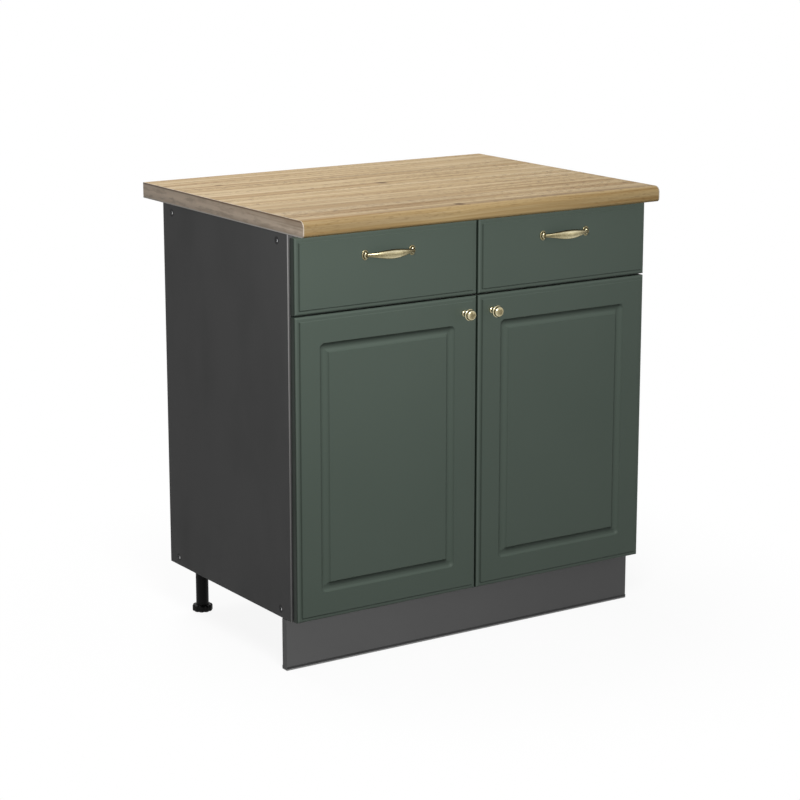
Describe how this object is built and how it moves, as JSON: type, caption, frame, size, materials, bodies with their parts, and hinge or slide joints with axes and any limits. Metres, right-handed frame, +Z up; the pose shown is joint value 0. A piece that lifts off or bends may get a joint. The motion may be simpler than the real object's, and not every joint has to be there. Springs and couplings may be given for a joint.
{
  "type": "kitchen base cabinet",
  "caption": "Kitchen base cabinet with side-by-side drawers over hinged doors, oak-look worktop, green fronts, brass pulls, plinth and adjustable feet.",
  "frame": {"origin": "on the floor under the middle of the worktop", "axes": "+X to the right seen from the front, -Y towards the user (front), +Z up"},
  "size_m": [0.804, 0.6, 0.85],
  "materials": {
    "graphite_board": "fine-textured laminate on particle board",
    "white_board": "white melamine on particle board",
    "pale_lipping": "pale edge strip",
    "hardboard": "smooth lacquered hardboard",
    "oak_laminate": "satin oak-look laminate",
    "grey_end_band": "matt edge band",
    "green_paint": "satin green paint on fibreboard",
    "plinth_board": "fine-textured laminate",
    "beech": "plain beech",
    "aged_brass": "pale aged brass",
    "zinc_steel": "bright zinc",
    "nickel_steel": "nickel plated",
    "black_plastic": "moulded",
    "grey_seal": "soft edged strip",
    "clear_pad": "soft pad"
  },
  "bodies": {
    "carcass": {"back_panel": "hardboard", "board_screws": "zinc_steel", "bottom_panel": "white_board", "carcass_screws": "zinc_steel", "dowels": "beech", "drawer_deck": "white_board", "drawer_divider": "white_board", "hinge_arms": "nickel_steel", "hinge_plates": "nickel_steel", "leg_sockets": "black_plastic", "plinth": "plinth_board", "plinth_clips": "black_plastic", "plinth_seal": "grey_seal", "runner_cabinet_members": "zinc_steel", "shelf": "white_board", "shelf_pins": "zinc_steel", "side_left": "graphite_board", "side_lippings": "pale_lipping", "side_right": "graphite_board", "top_rail_front": "white_board", "top_rail_rear": "white_board", "worktop": "oak_laminate", "worktop_brackets": "zinc_steel", "worktop_end_bands": "grey_end_band"},
    "door_left": {"door_left_bumpers": "clear_pad", "door_left_hinge_cups": "nickel_steel", "door_left_knob": "aged_brass", "door_left_knob_screw": "zinc_steel", "door_left_panel": "green_paint"},
    "door_right": {"door_right_bumpers": "clear_pad", "door_right_hinge_cups": "nickel_steel", "door_right_knob": "aged_brass", "door_right_knob_screw": "zinc_steel", "door_right_panel": "green_paint"},
    "drawer_left": {"drawer_left_back": "white_board", "drawer_left_bottom": "hardboard", "drawer_left_front": "green_paint", "drawer_left_handle": "aged_brass", "drawer_left_handle_screws": "zinc_steel", "drawer_left_inner_front": "white_board", "drawer_left_runner_members": "zinc_steel", "drawer_left_sides": "white_board"},
    "runner_middle_left": {"drawer_left_runner_middle": "zinc_steel"},
    "drawer_right": {"drawer_right_back": "white_board", "drawer_right_bottom": "hardboard", "drawer_right_front": "green_paint", "drawer_right_handle": "aged_brass", "drawer_right_handle_screws": "zinc_steel", "drawer_right_inner_front": "white_board", "drawer_right_runner_members": "zinc_steel", "drawer_right_sides": "white_board"},
    "runner_middle_right": {"drawer_right_runner_middle": "zinc_steel"},
    "foot_front_left": {"foot_front_left": "black_plastic"},
    "foot_front_right": {"foot_front_right": "black_plastic"},
    "foot_rear_left": {"foot_rear_left": "black_plastic"},
    "foot_rear_right": {"foot_rear_right": "black_plastic"},
    "inner_links_left": {"hinge_inner_links_left": "nickel_steel"},
    "inner_links_right": {"hinge_inner_links_right": "nickel_steel"},
    "outer_links_left": {"hinge_outer_links_left": "nickel_steel"},
    "outer_links_right": {"hinge_outer_links_right": "nickel_steel"}
  },
  "joints": [
    {"name": "hinge_outer_link_left", "type": "hinge", "parent": "carcass", "child": "outer_links_left", "pos_m": [-0.3657, -0.2506, 0.3865], "axis": [0, 0, -1], "range_deg": [-33.1, 0]},
    {"name": "door_left_swing", "type": "hinge", "parent": "outer_links_left", "child": "door_left", "pos_m": [-0.3857, -0.2506, 0.3865], "axis": [0, 0, -1], "range_deg": [0, 126]},
    {"name": "hinge_inner_link_left", "type": "hinge", "parent": "carcass", "child": "inner_links_left", "pos_m": [-0.3675, -0.2555, 0.3865], "axis": [0, 0, -1], "range_deg": [-11.73, 0]},
    {"name": "hinge_outer_link_right", "type": "hinge", "parent": "carcass", "child": "outer_links_right", "pos_m": [0.3657, -0.2506, 0.3865], "axis": [0, 0, 1], "range_deg": [-33.1, 0]},
    {"name": "door_right_swing", "type": "hinge", "parent": "outer_links_right", "child": "door_right", "pos_m": [0.3857, -0.2506, 0.3865], "axis": [0, 0, 1], "range_deg": [0, 126]},
    {"name": "hinge_inner_link_right", "type": "hinge", "parent": "carcass", "child": "inner_links_right", "pos_m": [0.3675, -0.2555, 0.3865], "axis": [0, 0, 1], "range_deg": [-11.73, 0]},
    {"name": "drawer_left_slide", "type": "slide", "parent": "carcass", "child": "drawer_left", "axis": [0, -1, 0], "range_m": [0, 0.4]},
    {"name": "runner_middle_left_slide", "type": "slide", "parent": "carcass", "child": "runner_middle_left", "axis": [0, -1, 0], "range_m": [0, 0.2]},
    {"name": "drawer_right_slide", "type": "slide", "parent": "carcass", "child": "drawer_right", "axis": [0, -1, 0], "range_m": [0, 0.4]},
    {"name": "runner_middle_right_slide", "type": "slide", "parent": "carcass", "child": "runner_middle_right", "axis": [0, -1, 0], "range_m": [0, 0.2]},
    {"name": "foot_front_left_height", "type": "slide", "parent": "carcass", "child": "foot_front_left", "axis": [0, 0, -1], "range_m": [0, 0.025]},
    {"name": "foot_front_right_height", "type": "slide", "parent": "carcass", "child": "foot_front_right", "axis": [0, 0, -1], "range_m": [0, 0.025]},
    {"name": "foot_rear_left_height", "type": "slide", "parent": "carcass", "child": "foot_rear_left", "axis": [0, 0, -1], "range_m": [0, 0.025]},
    {"name": "foot_rear_right_height", "type": "slide", "parent": "carcass", "child": "foot_rear_right", "axis": [0, 0, -1], "range_m": [0, 0.025]}
  ],
  "couplings": [
    {"joint": "hinge_outer_link_left", "follows": "door_left_swing", "ratio": -0.26271},
    {"joint": "hinge_inner_link_left", "follows": "door_left_swing", "ratio": -0.093132},
    {"joint": "hinge_outer_link_right", "follows": "door_right_swing", "ratio": -0.26271},
    {"joint": "hinge_inner_link_right", "follows": "door_right_swing", "ratio": -0.093132},
    {"joint": "runner_middle_left_slide", "follows": "drawer_left_slide", "ratio": 0.5},
    {"joint": "runner_middle_right_slide", "follows": "drawer_right_slide", "ratio": 0.5}
  ]
}
